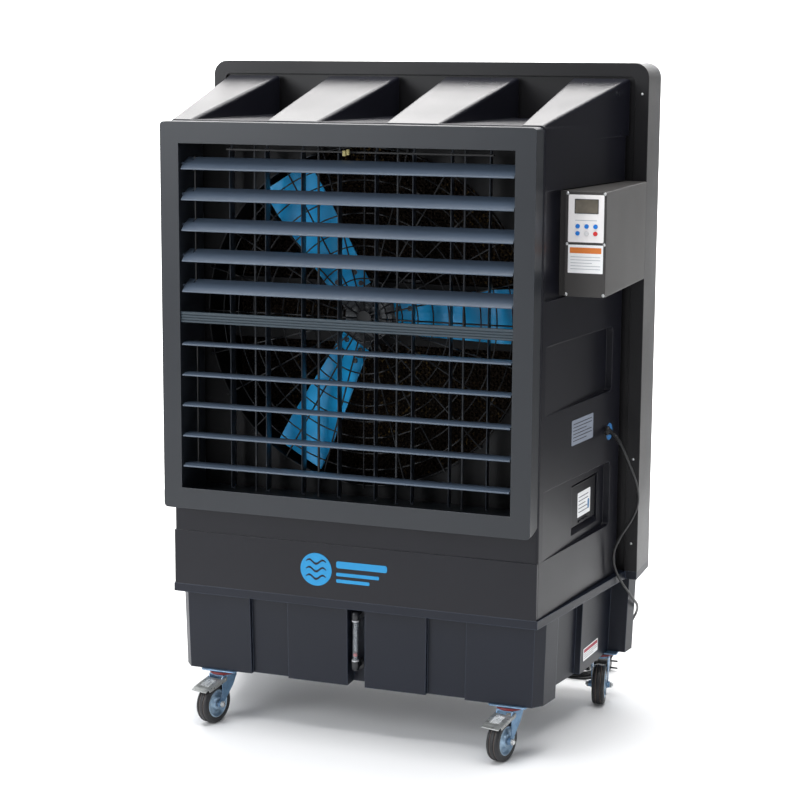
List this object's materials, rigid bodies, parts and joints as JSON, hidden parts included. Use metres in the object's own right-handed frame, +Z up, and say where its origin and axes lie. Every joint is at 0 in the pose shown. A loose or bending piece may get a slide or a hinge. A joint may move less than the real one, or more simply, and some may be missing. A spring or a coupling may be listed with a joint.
{
  "type": "evaporative cooler",
  "caption": "Tall evaporative air cooler on swivel casters: water tank base, flared cabinet with louvred outlet, blue fan, side control box and wide wetted-pad housing at the rear.",
  "frame": {"origin": "on the floor under the middle of the overall box, cord, coil and plug left out", "axes": "+Z up, the louvred front faces -Y, +X towards the control box"},
  "size_m": [1.1653, 0.847, 1.614],
  "materials": {
    "casing_black": "satin moulded plastic, faint grain",
    "housing_grey": "satin moulded plastic",
    "tank_black": "satin moulded plastic",
    "frame_grey": "smooth satin plastic",
    "louvre_grey": "smooth satin plastic",
    "vane_grey": "smooth satin plastic",
    "guard_wire": "coated steel wire",
    "shroud_black": "moulded plastic",
    "blade_blue": "gloss moulded plastic",
    "motor_grey": "cast aluminium",
    "hub_grey": "cast aluminium, fine turned",
    "pad_brown": "resin-treated cellulose",
    "pipe_white": "plain plastic pipe",
    "pump_black": "moulded plastic",
    "gauge_clear": "clear tube with elbow fittings",
    "ball_red": "gloss",
    "box_grey": "satin",
    "keypad_white": "printed sheet, smooth",
    "button_blue": "gloss",
    "button_white": "gloss",
    "button_red": "gloss",
    "cord_black": "PVC sheath",
    "zinc": "bright zinc plate with a blue cast",
    "pedal_steel": "pressed steel",
    "tyre_black": "rubber tread on a plated hub"
  },
  "bodies": {
    "cabinet": {"casing": "casing_black", "pad_housing": "housing_grey", "cooling_pad": "pad_brown", "water_pipe": "pipe_white", "pump": "pump_black", "water_tank": "tank_black", "level_gauge": "gauge_clear", "louvre_frame": "frame_grey", "centre_bar": "louvre_grey", "fan_guard": "guard_wire", "fan_shroud": "shroud_black", "fan_motor": "motor_grey", "control_box": "box_grey", "keypad_plate": "keypad_white", "cable_gland": "cord_black", "cord_tube": "cord_black", "cord_coil": "cord_black", "plug": "cord_black", "caster_plates": "zinc"},
    "fan": {"fan_hub": "hub_grey", "fan_blades": "blade_blue"},
    "upper_louvre_1_body": {"upper_louvre_1": "louvre_grey"},
    "upper_louvre_2_body": {"upper_louvre_2": "louvre_grey"},
    "upper_louvre_3_body": {"upper_louvre_3": "louvre_grey"},
    "upper_louvre_4_body": {"upper_louvre_4": "louvre_grey"},
    "upper_louvre_5_body": {"upper_louvre_5": "louvre_grey"},
    "upper_louvre_link_body": {"upper_louvre_link": "louvre_grey"},
    "lower_louvre_1_body": {"lower_louvre_1": "louvre_grey"},
    "lower_louvre_2_body": {"lower_louvre_2": "louvre_grey"},
    "lower_louvre_3_body": {"lower_louvre_3": "louvre_grey"},
    "lower_louvre_4_body": {"lower_louvre_4": "louvre_grey"},
    "lower_louvre_5_body": {"lower_louvre_5": "louvre_grey"},
    "lower_louvre_link_body": {"lower_louvre_link": "louvre_grey"},
    "vane_1_body": {"vane_1": "vane_grey"},
    "vane_2_body": {"vane_2": "vane_grey"},
    "vane_3_body": {"vane_3": "vane_grey"},
    "vane_4_body": {"vane_4": "vane_grey"},
    "vane_5_body": {"vane_5": "vane_grey"},
    "vane_6_body": {"vane_6": "vane_grey"},
    "vane_7_body": {"vane_7": "vane_grey"},
    "vane_8_body": {"vane_8": "vane_grey"},
    "vane_rod_body": {"vane_rod": "vane_grey"},
    "button_1_body": {"button_1": "button_blue"},
    "button_2_body": {"button_2": "button_blue"},
    "button_3_body": {"button_3": "button_blue"},
    "button_4_body": {"button_4": "button_blue"},
    "button_5_body": {"button_5": "button_white"},
    "button_6_body": {"button_6": "button_red"},
    "fill_door_body": {"fill_door": "casing_black"},
    "gauge_ball_body": {"gauge_ball": "ball_red"},
    "fork_front_left_body": {"fork_front_left": "zinc"},
    "wheel_front_left_body": {"wheel_front_left": "tyre_black"},
    "brake_pedal_front_left_body": {"brake_pedal_front_left": "pedal_steel"},
    "fork_front_right_body": {"fork_front_right": "zinc"},
    "wheel_front_right_body": {"wheel_front_right": "tyre_black"},
    "brake_pedal_front_right_body": {"brake_pedal_front_right": "pedal_steel"},
    "fork_rear_left_body": {"fork_rear_left": "zinc"},
    "wheel_rear_left_body": {"wheel_rear_left": "tyre_black"},
    "fork_rear_right_body": {"fork_rear_right": "zinc"},
    "wheel_rear_right_body": {"wheel_rear_right": "tyre_black"}
  },
  "joints": [
    {"name": "fan_spin", "type": "hinge", "parent": "cabinet", "child": "fan", "pos_m": [0, -0.166, 1.017], "axis": [0, 1, 0], "continuous": true},
    {"name": "upper_louvre_1_tilt", "type": "hinge", "parent": "cabinet", "child": "upper_louvre_1_body", "pos_m": [0, -0.32, 1.0905], "axis": [1, 0, 0], "range_deg": [-30, 30]},
    {"name": "upper_louvre_2_tilt", "type": "hinge", "parent": "cabinet", "child": "upper_louvre_2_body", "pos_m": [0, -0.32, 1.1625], "axis": [1, 0, 0], "range_deg": [-30, 30]},
    {"name": "upper_louvre_3_tilt", "type": "hinge", "parent": "cabinet", "child": "upper_louvre_3_body", "pos_m": [0, -0.32, 1.2345], "axis": [1, 0, 0], "range_deg": [-30, 30]},
    {"name": "upper_louvre_4_tilt", "type": "hinge", "parent": "cabinet", "child": "upper_louvre_4_body", "pos_m": [0, -0.32, 1.3065], "axis": [1, 0, 0], "range_deg": [-30, 30]},
    {"name": "upper_louvre_5_tilt", "type": "hinge", "parent": "cabinet", "child": "upper_louvre_5_body", "pos_m": [0, -0.32, 1.3785], "axis": [1, 0, 0], "range_deg": [-30, 30]},
    {"name": "upper_louvre_link_swing", "type": "hinge", "parent": "upper_louvre_3_body", "child": "upper_louvre_link_body", "pos_m": [-0.386, -0.30181, 1.245], "axis": [1, 0, 0], "range_deg": [-30, 30]},
    {"name": "lower_louvre_1_tilt", "type": "hinge", "parent": "cabinet", "child": "lower_louvre_1_body", "pos_m": [0, -0.32, 0.6598], "axis": [1, 0, 0], "range_deg": [-45, 60]},
    {"name": "lower_louvre_2_tilt", "type": "hinge", "parent": "cabinet", "child": "lower_louvre_2_body", "pos_m": [0, -0.32, 0.7331], "axis": [1, 0, 0], "range_deg": [-45, 60]},
    {"name": "lower_louvre_3_tilt", "type": "hinge", "parent": "cabinet", "child": "lower_louvre_3_body", "pos_m": [0, -0.32, 0.8064], "axis": [1, 0, 0], "range_deg": [-45, 60]},
    {"name": "lower_louvre_4_tilt", "type": "hinge", "parent": "cabinet", "child": "lower_louvre_4_body", "pos_m": [0, -0.32, 0.8797], "axis": [1, 0, 0], "range_deg": [-45, 60]},
    {"name": "lower_louvre_5_tilt", "type": "hinge", "parent": "cabinet", "child": "lower_louvre_5_body", "pos_m": [0, -0.32, 0.953], "axis": [1, 0, 0], "range_deg": [-45, 60]},
    {"name": "lower_louvre_link_swing", "type": "hinge", "parent": "lower_louvre_3_body", "child": "lower_louvre_link_body", "pos_m": [-0.386, -0.299, 0.8064], "axis": [1, 0, 0], "range_deg": [-60, 45]},
    {"name": "vane_1_swing", "type": "hinge", "parent": "cabinet", "child": "vane_1_body", "pos_m": [-0.32025, -0.24, 1], "axis": [0, 0, 1], "range_deg": [-47, 23]},
    {"name": "vane_2_swing", "type": "hinge", "parent": "cabinet", "child": "vane_2_body", "pos_m": [-0.22875, -0.24, 1], "axis": [0, 0, 1], "range_deg": [-47, 23]},
    {"name": "vane_3_swing", "type": "hinge", "parent": "cabinet", "child": "vane_3_body", "pos_m": [-0.13725, -0.24, 1], "axis": [0, 0, 1], "range_deg": [-47, 23]},
    {"name": "vane_4_swing", "type": "hinge", "parent": "cabinet", "child": "vane_4_body", "pos_m": [-0.04575, -0.24, 1], "axis": [0, 0, 1], "range_deg": [-47, 23]},
    {"name": "vane_5_swing", "type": "hinge", "parent": "cabinet", "child": "vane_5_body", "pos_m": [0.04575, -0.24, 1], "axis": [0, 0, 1], "range_deg": [-47, 23]},
    {"name": "vane_6_swing", "type": "hinge", "parent": "cabinet", "child": "vane_6_body", "pos_m": [0.13725, -0.24, 1], "axis": [0, 0, 1], "range_deg": [-47, 23]},
    {"name": "vane_7_swing", "type": "hinge", "parent": "cabinet", "child": "vane_7_body", "pos_m": [0.22875, -0.24, 1], "axis": [0, 0, 1], "range_deg": [-47, 23]},
    {"name": "vane_8_swing", "type": "hinge", "parent": "cabinet", "child": "vane_8_body", "pos_m": [0.32025, -0.24, 1], "axis": [0, 0, 1], "range_deg": [-47, 23]},
    {"name": "vane_rod_swing", "type": "hinge", "parent": "vane_4_body", "child": "vane_rod_body", "pos_m": [-0.04138, -0.26054, 1.41], "axis": [0, 0, 1], "range_deg": [-23, 47]},
    {"name": "button_1_press", "type": "slide", "parent": "cabinet", "child": "button_1_body", "axis": [0, 1, 0], "range_m": [0, 0.0015], "stiffness_N_per_m": 300},
    {"name": "button_2_press", "type": "slide", "parent": "cabinet", "child": "button_2_body", "axis": [0, 1, 0], "range_m": [0, 0.0015], "stiffness_N_per_m": 300},
    {"name": "button_3_press", "type": "slide", "parent": "cabinet", "child": "button_3_body", "axis": [0, 1, 0], "range_m": [0, 0.0015], "stiffness_N_per_m": 300},
    {"name": "button_4_press", "type": "slide", "parent": "cabinet", "child": "button_4_body", "axis": [0, 1, 0], "range_m": [0, 0.0015], "stiffness_N_per_m": 300},
    {"name": "button_5_press", "type": "slide", "parent": "cabinet", "child": "button_5_body", "axis": [0, 1, 0], "range_m": [0, 0.0015], "stiffness_N_per_m": 300},
    {"name": "button_6_press", "type": "slide", "parent": "cabinet", "child": "button_6_body", "axis": [0, 1, 0], "range_m": [0, 0.0015], "stiffness_N_per_m": 300},
    {"name": "fill_door_hinge", "type": "hinge", "parent": "cabinet", "child": "fill_door_body", "pos_m": [0.48334, 0.00763, 0.62], "axis": [-0.1054, -0.9944, 0], "range_deg": [0, 100]},
    {"name": "gauge_ball_float", "type": "slide", "parent": "cabinet", "child": "gauge_ball_body", "axis": [0, 0, 1], "range_m": [-0.018, 0.08]},
    {"name": "swivel_front_left", "type": "hinge", "parent": "cabinet", "child": "fork_front_left_body", "pos_m": [-0.362, -0.225, 0.115], "axis": [0, 0, 1], "continuous": true},
    {"name": "roll_front_left", "type": "hinge", "parent": "fork_front_left_body", "child": "wheel_front_left_body", "pos_m": [-0.37119, -0.26187, 0.05], "axis": [0.9703, -0.2419, 0], "continuous": true},
    {"name": "brake_front_left", "type": "hinge", "parent": "fork_front_left_body", "child": "brake_pedal_front_left_body", "pos_m": [-0.36684, -0.24441, 0.108], "axis": [0.9703, -0.2419, 0], "range_deg": [0, 6.5]},
    {"name": "swivel_front_right", "type": "hinge", "parent": "cabinet", "child": "fork_front_right_body", "pos_m": [0.379, -0.225, 0.115], "axis": [0, 0, 1], "continuous": true},
    {"name": "roll_front_right", "type": "hinge", "parent": "fork_front_right_body", "child": "wheel_front_right_body", "pos_m": [0.37045, -0.26203, 0.05], "axis": [0.9744, -0.225, 0], "continuous": true},
    {"name": "brake_front_right", "type": "hinge", "parent": "fork_front_right_body", "child": "brake_pedal_front_right_body", "pos_m": [0.3745, -0.24449, 0.108], "axis": [0.9744, -0.225, 0], "range_deg": [0, 6.5]},
    {"name": "swivel_rear_left", "type": "hinge", "parent": "cabinet", "child": "fork_rear_left_body", "pos_m": [-0.48, 0.253, 0.115], "axis": [0, 0, 1], "continuous": true},
    {"name": "roll_rear_left", "type": "hinge", "parent": "fork_rear_left_body", "child": "wheel_rear_left_body", "pos_m": [-0.48265, 0.21509, 0.05], "axis": [0.9976, -0.0698, 0], "continuous": true},
    {"name": "swivel_rear_right", "type": "hinge", "parent": "cabinet", "child": "fork_rear_right_body", "pos_m": [0.48, 0.253, 0.115], "axis": [0, 0, 1], "continuous": true},
    {"name": "roll_rear_right", "type": "hinge", "parent": "fork_rear_right_body", "child": "wheel_rear_right_body", "pos_m": [0.48595, 0.21547, 0.05], "axis": [0.9877, 0.1564, 0], "continuous": true}
  ],
  "couplings": [
    {"joint": "upper_louvre_1_tilt", "follows": "upper_louvre_3_tilt", "ratio": 1},
    {"joint": "upper_louvre_2_tilt", "follows": "upper_louvre_3_tilt", "ratio": 1},
    {"joint": "upper_louvre_4_tilt", "follows": "upper_louvre_3_tilt", "ratio": 1},
    {"joint": "upper_louvre_5_tilt", "follows": "upper_louvre_3_tilt", "ratio": 1},
    {"joint": "upper_louvre_link_swing", "follows": "upper_louvre_3_tilt", "ratio": -1},
    {"joint": "lower_louvre_1_tilt", "follows": "lower_louvre_3_tilt", "ratio": 1},
    {"joint": "lower_louvre_2_tilt", "follows": "lower_louvre_3_tilt", "ratio": 1},
    {"joint": "lower_louvre_4_tilt", "follows": "lower_louvre_3_tilt", "ratio": 1},
    {"joint": "lower_louvre_5_tilt", "follows": "lower_louvre_3_tilt", "ratio": 1},
    {"joint": "lower_louvre_link_swing", "follows": "lower_louvre_3_tilt", "ratio": -1},
    {"joint": "vane_1_swing", "follows": "vane_4_swing", "ratio": 1},
    {"joint": "vane_2_swing", "follows": "vane_4_swing", "ratio": 1},
    {"joint": "vane_3_swing", "follows": "vane_4_swing", "ratio": 1},
    {"joint": "vane_5_swing", "follows": "vane_4_swing", "ratio": 1},
    {"joint": "vane_6_swing", "follows": "vane_4_swing", "ratio": 1},
    {"joint": "vane_7_swing", "follows": "vane_4_swing", "ratio": 1},
    {"joint": "vane_8_swing", "follows": "vane_4_swing", "ratio": 1},
    {"joint": "vane_rod_swing", "follows": "vane_4_swing", "ratio": -1}
  ]
}
